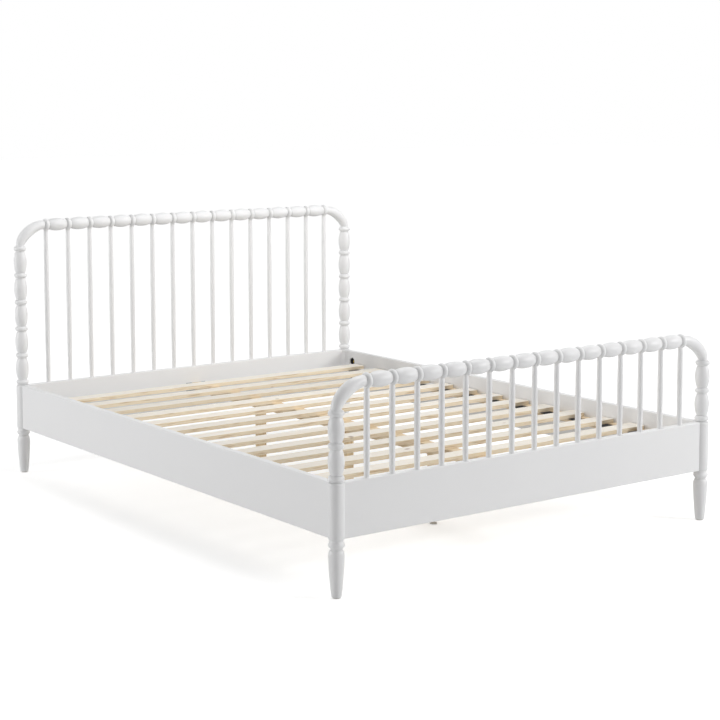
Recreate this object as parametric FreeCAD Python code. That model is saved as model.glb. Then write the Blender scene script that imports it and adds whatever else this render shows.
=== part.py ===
import FreeCAD, Part
import math
import os
from FreeCAD import Placement, Rotation, Vector

os.makedirs("parts", exist_ok=True)

# ---------------------------------------------------------------------------
# Spindle bed in painted wood, a queen size.
# X runs across the bed, Y along it with the head at +Y, Z up from the floor.
# The origin is on the floor, midway between the four posts. Millimetres.
# ---------------------------------------------------------------------------

# The mattress that the frame holds, and the room left round it
MATTRESS_WIDTH = 1524.0
MATTRESS_LENGTH = 2032.0
ROOM_AT_SIDES = 5.5
ROOM_AT_ENDS = 11.5

# Boards: two side rails, and the lower panels of head and foot
BOARD_THICKNESS = 25.0
BOARD_HEIGHT = 170.0
BOARD_UNDERSIDE = 176.0
BOARD_EDGE_ROUND = 3.0

# How the boards meet the posts
SEAT_FROM_AXIS = 21.5
SEAT_CLEARANCE = 0.15
TENON_THICKNESS = 12.0
TENON_LENGTH = 12.0
TENON_SHOULDER = 30.0

# Turned rings and barrels of the posts and the top rails
RING_RADIUS = 24.5
RING_HEIGHT = 22.0
RING_RIM = 9.0
NECK_RADIUS = 17.5
BARREL_RADIUS = 25.0
RING_LIFT = 1.4

# Posts above the boards
HEAD_BARRELS = 5
HEAD_RING_PITCH = 104.3
FOOT_BARRELS = 2
FOOT_RING_PITCH = 96.3

# Posts beside and below the boards
SHANK_RADIUS = 24.75
COLLAR_RADIUS = 21.5
COLLAR_FALL = 6.0
BEAD_RADIUS = 25.0
BEAD_TOP = 168.5
BEAD_WIDEST = 159.5
BEAD_BOTTOM = 148.0
GROOVE_RADIUS = 17.8
LEG_SHOULDER = 139.0
LEG_STRAIGHT_END = 125.0
LEG_RADIUS = 24.6
LEG_FOOT_RADIUS = 15.5
LEG_SWELL = 1.35

# Top rails, with one ring over each spindle
SPINDLES = 15
SPINDLE_PITCH = 95.5
HEAD_RAIL_AXIS = 967.6
FOOT_RAIL_AXIS = 636.2

# Spindles
SPINDLE_END_RADIUS = 8.25
SPINDLE_MID_RADIUS = 9.75
SOCKET_DEPTH = 14.0
SOCKET_CLEARANCE = 0.15

# Elbows between the posts and the top rails
ELBOW_POST_RADIUS = 15.5
ELBOW_RAIL_RADIUS = 17.0
ELBOW_MIDDLE_RADIUS = 21.0
ELBOW_RISE_HANDLE = 0.35
ELBOW_RUN_HANDLE = 0.50
ELBOW_STATIONS = 6
ELBOW_DOWEL_RADIUS = 5.0
ELBOW_DOWEL_DEPTH = 18.0
DOWEL_CLEARANCE = 0.1

# Slats, the straps that space them and the cleats that carry them
SLATS = 13
SLAT_WIDTH = 64.0
SLAT_THICKNESS = 15.0
FIRST_SLAT_FROM_PANEL = 88.7
SLAT_TOP = 294.0
SLAT_END_ROOM = 5.0
SLAT_EDGE_BEVEL = 1.0
STRAP_WIDTH = 30.0
STRAP_THICKNESS = 1.2
STRAP_FROM_SLAT_END = 50.0
CLEAT_WIDTH = 22.0
CLEAT_HEIGHT = 30.0
CLEAT_END_ROOM = 30.0
CLEAT_BEVEL = 1.5
HEAD_CLEAT_LENGTH = 585.0

# Centre beam, its three legs and its two brackets
BEAM_WIDTH = 45.0
BEAM_THICKNESS = 33.0
BEAM_BEVEL = 1.0
LEG_SIDE = 32.0
LEG_SPACING = 536.0
MIDDLE_LEG_SHIFT = -40.0
LEG_BEVEL = 1.0
BRACKET_METAL = 2.5
BRACKET_DEPTH = 34.0
BRACKET_EAR = 20.0
BRACKET_CLEARANCE = 0.3

# Fasteners and glides
BOLT_RADIUS = 4.0
BOLT_HOLE_CLEARANCE = 0.25
BOLT_BITE = 28.0
BOLT_PAST_POCKET = 8.0
POCKET_RADIUS = 17.5
POCKET_DEPTH = 19.0
POCKET_FROM_BOARD_END = 52.5
POCKET_FROM_EDGE = 46.0
WASHER_CLEARANCE = 0.3
WASHER_LENGTH = 14.0
NUT_SIDES = 6
NUT_ACROSS_FLATS = 13.0
NUT_THICKNESS = 6.5
SCREW_RADIUS = 2.0
SCREW_HEAD_RADIUS = 4.0
SCREW_HEAD_HEIGHT = 2.4
SCREW_HEAD_BEVEL = 1.2
SCREW_HOLE_CLEARANCE = 0.3
SCREW_BITE = 14.0
LONG_CLEAT_SCREWS = 4
HEAD_CLEAT_SCREWS = 2
CLEAT_SCREW_FROM_END = 65.0
LEG_BOLT_RADIUS = 4.0
LEG_BOLT_BITE = 40.0
LEG_BOLT_IN_BEAM = 22.0
GLIDE_THICKNESS = 3.0
GLIDE_MARGIN = 3.5
GLIDE_NAIL_RADIUS = 1.5
GLIDE_NAIL_LENGTH = 12.0
LEVELLER_HEIGHT = 20.0
LEVELLER_RADIUS = 13.0
LEVELLER_RIM = 4.0
LEVELLER_RISE = 3.0
LEVELLER_STEM_RADIUS = 4.0
LEVELLER_STEM_BITE = 25.0

# How far a cutter runs past the face that it opens, and how far an edge may lean and still be parallel
OVERRUN = 1.0
PARALLEL_LEAN = 0.001

# ---------------------------------------------------------------------------
# Places that follow from the driving dimensions
# ---------------------------------------------------------------------------

X_AXIS = Vector(1, 0, 0)
Y_AXIS = Vector(0, 1, 0)
Z_AXIS = Vector(0, 0, 1)

INNER_WIDTH = MATTRESS_WIDTH + 2 * ROOM_AT_SIDES
INNER_LENGTH = MATTRESS_LENGTH + 2 * ROOM_AT_ENDS
POST_X = INNER_WIDTH / 2 + BOARD_THICKNESS / 2
POST_Y = INNER_LENGTH / 2 + BOARD_THICKNESS / 2
BOARD_TOP = BOARD_UNDERSIDE + BOARD_HEIGHT
BOARD_MIDDLE = BOARD_UNDERSIDE + BOARD_HEIGHT / 2
LOWEST_RING = BOARD_TOP + RING_LIFT + RING_HEIGHT / 2
SLAT_UNDERSIDE = SLAT_TOP - SLAT_THICKNESS
BEAM_UNDERSIDE = SLAT_UNDERSIDE - BEAM_THICKNESS
RAIL_HALF = (SPINDLES - 1) / 2 * SPINDLE_PITCH + RING_HEIGHT / 2
SPINDLE_X = [(i - (SPINDLES - 1) / 2) * SPINDLE_PITCH for i in range(SPINDLES)]
LAST_SLAT_Y = INNER_LENGTH / 2 - FIRST_SLAT_FROM_PANEL - SLAT_WIDTH / 2
SLAT_PITCH = 2 * LAST_SLAT_Y / (SLATS - 1)
SLAT_Y = [i * SLAT_PITCH - LAST_SLAT_Y for i in range(SLATS)]
CLEATS_END = POST_Y - SHANK_RADIUS - CLEAT_END_ROOM
CLEAT_JOINT = CLEATS_END - HEAD_CLEAT_LENGTH
LEG_Y = {"foot": -LEG_SPACING, "middle": MIDDLE_LEG_SHIFT, "head": LEG_SPACING}
BOLT_Z = (BOARD_UNDERSIDE + POCKET_FROM_EDGE, BOARD_TOP - POCKET_FROM_EDGE)
SIDES = {"left": -1, "right": 1}
LONG_CLEAT = {"start": -CLEATS_END, "end": CLEAT_JOINT, "screws": LONG_CLEAT_SCREWS}
HEAD_CLEAT = {"start": CLEAT_JOINT, "end": CLEATS_END, "screws": HEAD_CLEAT_SCREWS}
HEAD = {
    "name": "head",
    "side": 1,
    "barrels": HEAD_BARRELS,
    "ring_pitch": HEAD_RING_PITCH,
    "rail_axis": HEAD_RAIL_AXIS,
}
FOOT = {
    "name": "foot",
    "side": -1,
    "barrels": FOOT_BARRELS,
    "ring_pitch": FOOT_RING_PITCH,
    "rail_axis": FOOT_RAIL_AXIS,
}
ENDS = (HEAD, FOOT)


# ---------------------------------------------------------------------------
# Small helpers
# ---------------------------------------------------------------------------


class Turning:
    """The half section of a turned piece, walked along its axis: radius against height."""

    def __init__(self, radius, height):
        self.start = Vector(radius, 0, height)
        self.point = self.start
        self.edges = []

    def line(self, radius, height):
        end = Vector(radius, 0, height)
        if end != self.point:
            self.edges.append(Part.LineSegment(self.point, end).toShape())
        self.point = end

    def arc(self, mid_radius, mid_height, radius, height):
        middle = Vector(mid_radius, 0, mid_height)
        end = Vector(radius, 0, height)
        self.edges.append(Part.Arc(self.point, middle, end).toShape())
        self.point = end

    def solid(self):
        self.line(0, self.point.z)
        self.line(0, self.start.z)
        self.line(self.start.x, self.start.z)
        face = Part.Face(Part.Wire(self.edges))
        return face.revolve(Vector(0, 0, 0), Z_AXIS, 360)


def block(x_size, y_size, z_size, centre):
    """A box about its centre."""
    corner = centre - Vector(x_size / 2, y_size / 2, z_size / 2)
    return Part.makeBox(x_size, y_size, z_size, corner)


def rod(radius, start, end):
    """A round bar from one point to another."""
    span = end - start
    return Part.makeCylinder(radius, span.Length, start, span)


def edges_along(shape, direction):
    """The straight edges of a shape that run in one direction."""
    found = []
    for edge in shape.Edges:
        run = edge.Vertexes[-1].Point - edge.Vertexes[0].Point
        if run.cross(direction).Length < PARALLEL_LEAN * run.Length:
            found.append(edge)
    return found


def group(pieces):
    """Several separate solids in one node."""
    return pieces[0] if len(pieces) == 1 else Part.makeCompound(pieces)


def write(node, shape):
    shape.exportStep("parts/" + node + ".step")
    print(node, "solids", len(shape.Solids), "volume", round(shape.Volume / 1000), "cm3")


# ---------------------------------------------------------------------------
# Turned posts
# ---------------------------------------------------------------------------


def add_ring(turning, centre):
    """A ring with bevelled flanks, from the neck before it to the neck after it."""
    turning.line(NECK_RADIUS, centre - RING_HEIGHT / 2)
    turning.line(RING_RADIUS, centre - RING_RIM / 2)
    turning.line(RING_RADIUS, centre + RING_RIM / 2)
    turning.line(NECK_RADIUS, centre + RING_HEIGHT / 2)


def add_barrel(turning, next_ring):
    """A barrel that swells from one neck and falls to the next."""
    end = next_ring - RING_HEIGHT / 2
    turning.arc(BARREL_RADIUS, (turning.point.z + end) / 2, NECK_RADIUS, end)


def top_ring(end):
    """Height of the ring that ends a post."""
    return LOWEST_RING + end["barrels"] * end["ring_pitch"]


def turned_leg():
    """The tapered leg, the bead and the plain shank that the boards meet."""
    leg = Turning(LEG_FOOT_RADIUS, GLIDE_THICKNESS)
    middle = (GLIDE_THICKNESS + LEG_STRAIGHT_END) / 2
    middle_radius = (LEG_FOOT_RADIUS + LEG_RADIUS) / 2 + LEG_SWELL
    leg.arc(middle_radius, middle, LEG_RADIUS, LEG_STRAIGHT_END)
    leg.line(LEG_RADIUS, LEG_SHOULDER)
    leg.line(GROOVE_RADIUS, BEAD_BOTTOM)
    leg.arc(BEAD_RADIUS, BEAD_WIDEST, COLLAR_RADIUS, BEAD_TOP)
    leg.line(COLLAR_RADIUS, BOARD_UNDERSIDE)
    leg.line(SHANK_RADIUS, BOARD_UNDERSIDE + COLLAR_FALL)
    leg.line(SHANK_RADIUS, BOARD_TOP - COLLAR_FALL)
    leg.line(COLLAR_RADIUS, BOARD_TOP)
    return leg


def post_blank(end):
    """A whole post about the Z axis, before it is cut."""
    turning = turned_leg()
    add_ring(turning, LOWEST_RING)
    for count in range(1, end["barrels"] + 1):
        ring = LOWEST_RING + count * end["ring_pitch"]
        add_barrel(turning, ring)
        add_ring(turning, ring)
    return turning.solid()


def board_seat(direction):
    """The flat seat for a board's end, cut in from the side of the shank."""
    depth = SHANK_RADIUS - SEAT_FROM_AXIS
    width = BOARD_THICKNESS + 2 * SEAT_CLEARANCE
    centre = direction * (SEAT_FROM_AXIS + depth) + Z_AXIS * BOARD_MIDDLE
    size = [width, width, BOARD_HEIGHT + 2 * SEAT_CLEARANCE]
    size[0 if direction.x else 1] = 2 * depth
    return block(*size, centre)


def tenon(direction, clearance):
    """The tongue on a panel's end, or the mortise for it with a clearance."""
    length = TENON_LENGTH + clearance
    centre = direction * (SEAT_FROM_AXIS - length / 2) + Z_AXIS * BOARD_MIDDLE
    height = BOARD_HEIGHT - 2 * TENON_SHOULDER + 2 * clearance
    return block(length, TENON_THICKNESS + 2 * clearance, height, centre)


def post(end, side):
    """One post in its place, with the seats, the mortise and the bores."""
    to_panel = X_AXIS * -side
    to_rail = Y_AXIS * -end["side"]
    top = top_ring(end) + RING_HEIGHT / 2
    bore = BOLT_RADIUS + BOLT_HOLE_CLEARANCE
    blank = post_blank(end)
    cutters = [board_seat(to_panel), board_seat(to_rail), tenon(to_panel, SEAT_CLEARANCE)]
    for z in BOLT_Z:
        start = to_rail * (SEAT_FROM_AXIS - BOLT_BITE) + Z_AXIS * z
        cutters.append(rod(bore, start, to_rail * SHANK_RADIUS + Z_AXIS * z))
    dowel = ELBOW_DOWEL_RADIUS + DOWEL_CLEARANCE
    cutters.append(rod(dowel, Z_AXIS * (top - ELBOW_DOWEL_DEPTH), Z_AXIS * (top + OVERRUN)))
    cut = blank.cut(Part.makeCompound(cutters))
    cut.translate(Vector(side * POST_X, end["side"] * POST_Y, 0))
    return group(cut.Solids)


# ---------------------------------------------------------------------------
# Top rails and elbows
# ---------------------------------------------------------------------------


def top_rail(end):
    """A turned bar with a ring over each spindle, bored for the spindles and the end dowels."""
    turning = Turning(NECK_RADIUS, -RAIL_HALF)
    for count, x in enumerate(SPINDLE_X):
        if count:
            add_barrel(turning, x)
        add_ring(turning, x)
    bar = turning.solid()
    bar.Placement = Placement(Vector(0, 0, 0), Rotation(Y_AXIS, 90))
    bore = SPINDLE_END_RADIUS + SOCKET_CLEARANCE
    socket_top = SOCKET_DEPTH - RING_RADIUS
    cutters = []
    for x in SPINDLE_X:
        cutters.append(rod(bore, Vector(x, 0, -BARREL_RADIUS), Vector(x, 0, socket_top)))
    dowel = ELBOW_DOWEL_RADIUS + DOWEL_CLEARANCE
    for side in SIDES.values():
        mouth = Vector(side * RAIL_HALF, 0, 0)
        cutters.append(rod(dowel, mouth - X_AXIS * side * ELBOW_DOWEL_DEPTH, mouth))
    cut = bar.cut(Part.makeCompound(cutters))
    cut.translate(Vector(0, end["side"] * POST_Y, end["rail_axis"]))
    return group(cut.Solids)


def elbow_path(end):
    """Centreline of an elbow, from the top of the left post to the end of the top rail."""
    start = Vector(-POST_X, 0, top_ring(end) + RING_HEIGHT / 2)
    finish = Vector(-RAIL_HALF, 0, end["rail_axis"])
    rise = Z_AXIS * (finish.z - start.z) * ELBOW_RISE_HANDLE
    run = X_AXIS * (finish.x - start.x) * ELBOW_RUN_HANDLE
    path = Part.BezierCurve()
    path.setPoles([start, start + rise, finish - run, finish])
    return path


def left_elbow(end):
    """The left elbow of an end, which swells between its ends, lofted through round sections."""
    path = elbow_path(end)
    sections = []
    for station in range(ELBOW_STATIONS + 1):
        share = station / ELBOW_STATIONS
        plain = ELBOW_POST_RADIUS + (ELBOW_RAIL_RADIUS - ELBOW_POST_RADIUS) * share
        middle = (ELBOW_POST_RADIUS + ELBOW_RAIL_RADIUS) / 2
        swell = (ELBOW_MIDDLE_RADIUS - middle) * math.sin(math.pi * share)
        circle = Part.Circle(path.value(share), path.tangent(share)[0], plain + swell)
        sections.append(Part.Wire(circle.toShape()))
    body = Part.makeLoft(sections, True, False)
    bore = ELBOW_DOWEL_RADIUS + DOWEL_CLEARANCE
    start, finish = path.value(0), path.value(1)
    post_bore = rod(bore, start - Z_AXIS * OVERRUN, start + Z_AXIS * ELBOW_DOWEL_DEPTH)
    rail_bore = rod(bore, finish + X_AXIS * OVERRUN, finish - X_AXIS * ELBOW_DOWEL_DEPTH)
    cut = body.cut(Part.makeCompound([post_bore, rail_bore]))
    cut.translate(Vector(0, end["side"] * POST_Y, 0))
    return cut.Solids[0]


def elbows(end):
    """The two elbows of an end, one the mirror image of the other."""
    left = left_elbow(end)
    return group([left, left.mirror(Vector(0, 0, 0), X_AXIS)])


def elbow_dowels():
    """Dowels that join the elbows to the posts and the top rails."""
    pieces = []
    reach = ELBOW_DOWEL_DEPTH - DOWEL_CLEARANCE
    for end in ENDS:
        for side in SIDES.values():
            y = end["side"] * POST_Y
            seat = Vector(side * POST_X, y, top_ring(end) + RING_HEIGHT / 2)
            pieces.append(rod(ELBOW_DOWEL_RADIUS, seat - Z_AXIS * reach, seat + Z_AXIS * reach))
            seat = Vector(side * RAIL_HALF, y, end["rail_axis"])
            pieces.append(rod(ELBOW_DOWEL_RADIUS, seat - X_AXIS * reach, seat + X_AXIS * reach))
    return group(pieces)


# ---------------------------------------------------------------------------
# Boards: lower panels and side rails
# ---------------------------------------------------------------------------


def eased_board(x_size, y_size, centre, long_axis):
    """A board with its long edges rounded over."""
    board = block(x_size, y_size, BOARD_HEIGHT, centre)
    return board.makeFillet(BOARD_EDGE_ROUND, edges_along(board, long_axis))


def panel(end):
    """A lower panel, with a tenon at each end and a row of sockets in its top edge."""
    y = end["side"] * POST_Y
    length = 2 * (POST_X - SEAT_FROM_AXIS)
    board = eased_board(length, BOARD_THICKNESS, Vector(0, 0, BOARD_MIDDLE), X_AXIS)
    for side in SIDES.values():
        tongue = tenon(X_AXIS * -side, 0)
        tongue.translate(Vector(side * POST_X, 0, 0))
        board = board.fuse(tongue)
    bore = SPINDLE_END_RADIUS + SOCKET_CLEARANCE
    floor = BOARD_TOP - SOCKET_DEPTH
    sockets = [rod(bore, Vector(x, 0, floor), Vector(x, 0, BOARD_TOP + OVERRUN)) for x in SPINDLE_X]
    board = board.cut(Part.makeCompound(sockets))
    board.translate(Vector(0, y, 0))
    return group(board.Solids)


def pocket_places():
    """Where the round nut pockets are on a side rail: (Y, Z, +1 near the head or -1 near the foot)."""
    y = POST_Y - SEAT_FROM_AXIS - POCKET_FROM_BOARD_END
    return [(end * y, z, end) for end in (1, -1) for z in BOLT_Z]


def side_rail(side):
    """A side rail, with bolt bores in its ends and round nut pockets in its inner face."""
    x = side * POST_X
    length = 2 * (POST_Y - SEAT_FROM_AXIS)
    board = eased_board(BOARD_THICKNESS, length, Vector(x, 0, BOARD_MIDDLE), Y_AXIS)
    inner = x - side * BOARD_THICKNESS / 2
    bore = BOLT_RADIUS + BOLT_HOLE_CLEARANCE
    cutters = []
    for y, z, end in pocket_places():
        mouth = Vector(inner - side * OVERRUN, y, z)
        cutters.append(rod(POCKET_RADIUS, mouth, Vector(inner + side * POCKET_DEPTH, y, z)))
        cutters.append(rod(bore, Vector(x, y, z), Vector(x, end * POST_Y, z)))
    cut = board.cut(Part.makeCompound(cutters))
    return group(cut.Solids)


# ---------------------------------------------------------------------------
# Spindles
# ---------------------------------------------------------------------------


def spindle(end, x):
    """A slim turned spindle, thickest halfway, from the panel's socket to the rail's."""
    low = BOARD_TOP - SOCKET_DEPTH
    high = end["rail_axis"] - RING_RADIUS + SOCKET_DEPTH
    turning = Turning(SPINDLE_END_RADIUS, low)
    under_rail = end["rail_axis"] - RING_RADIUS
    turning.line(SPINDLE_END_RADIUS, BOARD_TOP)
    turning.arc(SPINDLE_MID_RADIUS, (BOARD_TOP + under_rail) / 2, SPINDLE_END_RADIUS, under_rail)
    turning.line(SPINDLE_END_RADIUS, high)
    piece = turning.solid()
    piece.translate(Vector(x, end["side"] * POST_Y, 0))
    return piece


# ---------------------------------------------------------------------------
# Slats, straps and cleats
# ---------------------------------------------------------------------------


def bevelled_bar(x_size, y_size, z_size, centre, bevel, long_axis):
    """A square-cut bar with its long edges bevelled."""
    bar = block(x_size, y_size, z_size, centre)
    return bar.makeChamfer(bevel, edges_along(bar, long_axis))


def slat(y):
    length = INNER_WIDTH - 2 * SLAT_END_ROOM
    centre = Vector(0, y, SLAT_TOP - SLAT_THICKNESS / 2)
    return bevelled_bar(length, SLAT_WIDTH, SLAT_THICKNESS, centre, SLAT_EDGE_BEVEL, X_AXIS)


def slat_strap(side):
    """A woven strap under the slats that keeps them at their spacing."""
    slat_end = INNER_WIDTH / 2 - SLAT_END_ROOM
    x = side * (slat_end - STRAP_FROM_SLAT_END - STRAP_WIDTH / 2)
    length = SLAT_Y[-1] - SLAT_Y[0] + SLAT_WIDTH
    centre = Vector(x, 0, SLAT_UNDERSIDE - STRAP_THICKNESS / 2)
    return block(STRAP_WIDTH, length, STRAP_THICKNESS, centre)


def cleat_screw_places(cleat, side):
    """Where the screws' heads sit on a cleat's inner face."""
    x = side * (INNER_WIDTH / 2 - CLEAT_WIDTH)
    z = SLAT_UNDERSIDE - CLEAT_HEIGHT / 2
    first = cleat["start"] + CLEAT_SCREW_FROM_END
    last = cleat["end"] - CLEAT_SCREW_FROM_END
    spacing = (last - first) / (cleat["screws"] - 1)
    return [Vector(x, first + count * spacing, z) for count in range(cleat["screws"])]


def slat_cleat(cleat, side):
    """A cleat along a side rail's inner face, under the slats' ends. Two lengths meet end to end."""
    x = side * (INNER_WIDTH / 2 - CLEAT_WIDTH / 2)
    middle = (cleat["start"] + cleat["end"]) / 2
    centre = Vector(x, middle, SLAT_UNDERSIDE - CLEAT_HEIGHT / 2)
    size = (CLEAT_WIDTH, cleat["end"] - cleat["start"], CLEAT_HEIGHT)
    bar = bevelled_bar(*size, centre, CLEAT_BEVEL, Y_AXIS)
    bore = SCREW_RADIUS + SCREW_HOLE_CLEARANCE
    through = X_AXIS * side * CLEAT_WIDTH
    holes = [rod(bore, place, place + through) for place in cleat_screw_places(cleat, side)]
    return group(bar.cut(Part.makeCompound(holes)).Solids)


# ---------------------------------------------------------------------------
# Centre beam, legs and brackets
# ---------------------------------------------------------------------------


def centre_beam():
    """The lengthwise beam under the middle of the slats, bored for the leg bolts."""
    length = INNER_LENGTH - 2 * (BRACKET_METAL + BRACKET_CLEARANCE)
    centre = Vector(0, 0, SLAT_UNDERSIDE - BEAM_THICKNESS / 2)
    beam = bevelled_bar(BEAM_WIDTH, length, BEAM_THICKNESS, centre, BEAM_BEVEL, Y_AXIS)
    bore = LEG_BOLT_RADIUS + BOLT_HOLE_CLEARANCE
    top = BEAM_UNDERSIDE + LEG_BOLT_IN_BEAM + BOLT_HOLE_CLEARANCE
    mouth = BEAM_UNDERSIDE - OVERRUN
    bores = [rod(bore, Vector(0, y, mouth), Vector(0, y, top)) for y in LEG_Y.values()]
    return group(beam.cut(Part.makeCompound(bores)).Solids)


def centre_leg(y):
    """A square leg under the beam, bored at its top for its bolt and below for its leveller."""
    height = BEAM_UNDERSIDE - LEVELLER_HEIGHT
    centre = Vector(0, y, LEVELLER_HEIGHT + height / 2)
    leg = bevelled_bar(LEG_SIDE, LEG_SIDE, height, centre, LEG_BEVEL, Z_AXIS)
    bore = LEG_BOLT_RADIUS + BOLT_HOLE_CLEARANCE
    floor = BEAM_UNDERSIDE - LEG_BOLT_BITE - BOLT_HOLE_CLEARANCE
    top_hole = rod(bore, Vector(0, y, floor), Vector(0, y, BEAM_UNDERSIDE + OVERRUN))
    bore = LEVELLER_STEM_RADIUS + BOLT_HOLE_CLEARANCE
    ceiling = LEVELLER_HEIGHT + LEVELLER_STEM_BITE + BOLT_HOLE_CLEARANCE
    low_hole = rod(bore, Vector(0, y, LEVELLER_HEIGHT - OVERRUN), Vector(0, y, ceiling))
    return leg.cut(Part.makeCompound([top_hole, low_hole]))


def leg_bolts():
    """Headless bolts that join the centre legs to the beam."""
    pieces = []
    for y in LEG_Y.values():
        low = Vector(0, y, BEAM_UNDERSIDE - LEG_BOLT_BITE)
        high = Vector(0, y, BEAM_UNDERSIDE + LEG_BOLT_IN_BEAM)
        pieces.append(rod(LEG_BOLT_RADIUS, low, high))
    return group(pieces)


def bracket_screw_places(end):
    """Screw heads on a bracket's two ears: where the face of the ear is."""
    x = BEAM_WIDTH / 2 + BRACKET_CLEARANCE + BRACKET_METAL + BRACKET_EAR / 2
    y = end["side"] * (INNER_LENGTH / 2 - BRACKET_METAL)
    z = BEAM_UNDERSIDE + BEAM_THICKNESS / 2
    return [Vector(sign * x, y, z) for sign in (-1, 1)]


def beam_bracket(end):
    """A folded steel stirrup on the panel's inner face that holds the beam's end."""
    inside = BEAM_WIDTH + 2 * BRACKET_CLEARANCE
    outside = inside + 2 * BRACKET_METAL
    height = BEAM_THICKNESS + BRACKET_METAL
    z = BEAM_UNDERSIDE - BRACKET_METAL + height / 2
    stirrup = block(outside, BRACKET_DEPTH, height, Vector(0, BRACKET_DEPTH / 2, z))
    room = block(inside, BRACKET_DEPTH, height, Vector(0, BRACKET_DEPTH / 2, z + BRACKET_METAL))
    room.translate(Y_AXIS * BRACKET_METAL)
    plate_width = outside + 2 * BRACKET_EAR
    plate = block(plate_width, BRACKET_METAL, height, Vector(0, BRACKET_METAL / 2, z))
    bracket = stirrup.cut(room).fuse(plate).removeSplitter()
    if end["side"] > 0:
        bracket = bracket.mirror(Vector(0, 0, 0), Y_AXIS)
    bracket.translate(Vector(0, end["side"] * INNER_LENGTH / 2, 0))
    for place in bracket_screw_places(end):
        deep = place + Y_AXIS * end["side"] * BRACKET_METAL
        bracket = bracket.cut(rod(SCREW_RADIUS + SCREW_HOLE_CLEARANCE, place, deep))
    return group(bracket.Solids)


# ---------------------------------------------------------------------------
# Fasteners and glides
# ---------------------------------------------------------------------------


def screw(head_face, inward, through):
    """A wood screw whose bevelled head sits on a face, with its shank through one piece into another."""
    turning = Turning(SCREW_RADIUS, -(through + SCREW_BITE))
    turning.line(SCREW_RADIUS, 0)
    turning.line(SCREW_HEAD_RADIUS, 0)
    turning.line(SCREW_HEAD_RADIUS, SCREW_HEAD_HEIGHT - SCREW_HEAD_BEVEL)
    turning.line(SCREW_HEAD_RADIUS - SCREW_HEAD_BEVEL, SCREW_HEAD_HEIGHT)
    piece = turning.solid()
    piece.Placement = Placement(head_face, Rotation(Z_AXIS, inward * -1))
    return piece


def rail_bolts():
    """Headless bolts from the posts into the nut pockets of the side rails."""
    pieces = []
    for side in SIDES.values():
        for y, z, end in pocket_places():
            bite = end * (POST_Y - SEAT_FROM_AXIS + BOLT_BITE - BOLT_HOLE_CLEARANCE)
            start = Vector(side * POST_X, bite, z)
            pieces.append(rod(BOLT_RADIUS, start, Vector(side * POST_X, y - end * BOLT_PAST_POCKET, z)))
    return group(pieces)


def half_moon_washers():
    """Half-round washers that fit the pocket's wall and give the nut a flat seat."""
    pieces = []
    radius = POCKET_RADIUS - WASHER_CLEARANCE
    for side in SIDES.values():
        floor = side * (POST_X - BOARD_THICKNESS / 2 + POCKET_DEPTH)
        for y, z, end in pocket_places():
            start = Vector(floor, y, z)
            round_bar = rod(radius, start, start - X_AXIS * side * WASHER_LENGTH)
            half = block(2 * POCKET_DEPTH, radius, 2 * radius, Vector(floor, y + end * radius / 2, z))
            bore = rod(
                BOLT_RADIUS + BOLT_HOLE_CLEARANCE,
                Vector(side * POST_X, y, z),
                Vector(side * POST_X, y + end * POCKET_RADIUS, z),
            )
            pieces.append(round_bar.common(half).cut(bore))
    return group(pieces)


def nut(seat, away):
    """A hexagon nut whose face lies on a seat, whose body points away and whose flats face +X and -X."""
    turn = 2 * math.pi / NUT_SIDES
    corner = NUT_ACROSS_FLATS / 2 / math.cos(turn / 2)
    corners = []
    for step in range(NUT_SIDES + 1):
        angle = (step + 0.5) * turn
        corners.append(Vector(corner * math.cos(angle), corner * math.sin(angle), 0))
    blank = Part.Face(Part.makePolygon(corners)).extrude(Z_AXIS * NUT_THICKNESS)
    bore = BOLT_RADIUS + BOLT_HOLE_CLEARANCE
    piece = blank.cut(rod(bore, Vector(0, 0, 0), Z_AXIS * NUT_THICKNESS))
    piece.Placement = Placement(seat, Rotation(Z_AXIS, away))
    return piece


def rail_nuts():
    """Hexagon nuts on the flats of the half-moon washers."""
    pieces = []
    for side in SIDES.values():
        for y, z, end in pocket_places():
            pieces.append(nut(Vector(side * POST_X, y, z), Y_AXIS * -end))
    return group(pieces)


def leveller_nuts():
    """Hexagon nuts that lock the levellers against the undersides of the centre legs."""
    return group([nut(Vector(0, y, LEVELLER_HEIGHT), Z_AXIS * -1) for y in LEG_Y.values()])


def cleat_screws():
    """Wood screws through the cleats into the side rails."""
    pieces = []
    for side in SIDES.values():
        for cleat in (LONG_CLEAT, HEAD_CLEAT):
            for place in cleat_screw_places(cleat, side):
                pieces.append(screw(place, X_AXIS * side, CLEAT_WIDTH))
    return group(pieces)


def bracket_screws():
    """Wood screws through the ears of the beam's brackets into the panels."""
    pieces = []
    for end in ENDS:
        for place in bracket_screw_places(end):
            pieces.append(screw(place, Y_AXIS * end["side"], BRACKET_METAL))
    return group(pieces)


def glide(x, y):
    """A flat nail-on glide under a post, with its nail up in the wood."""
    turning = Turning(LEG_FOOT_RADIUS - GLIDE_MARGIN, 0)
    turning.line(LEG_FOOT_RADIUS - GLIDE_MARGIN, GLIDE_THICKNESS)
    turning.line(GLIDE_NAIL_RADIUS, GLIDE_THICKNESS)
    turning.line(GLIDE_NAIL_RADIUS, GLIDE_THICKNESS + GLIDE_NAIL_LENGTH)
    piece = turning.solid()
    piece.translate(Vector(x, y, 0))
    return piece


def post_glides():
    places = [(x * POST_X, y * POST_Y) for x in SIDES.values() for y in SIDES.values()]
    return group([glide(x, y) for x, y in places])


def leveller(y):
    """A screw-in foot under a centre leg: a bevelled disc on a stem that sets the height."""
    turning = Turning(LEVELLER_RADIUS, 0)
    turning.line(LEVELLER_RADIUS, LEVELLER_RIM)
    turning.line(LEVELLER_STEM_RADIUS, LEVELLER_RIM + LEVELLER_RISE)
    turning.line(LEVELLER_STEM_RADIUS, LEVELLER_HEIGHT + LEVELLER_STEM_BITE)
    piece = turning.solid()
    piece.translate(Vector(0, y, 0))
    return piece


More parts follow.
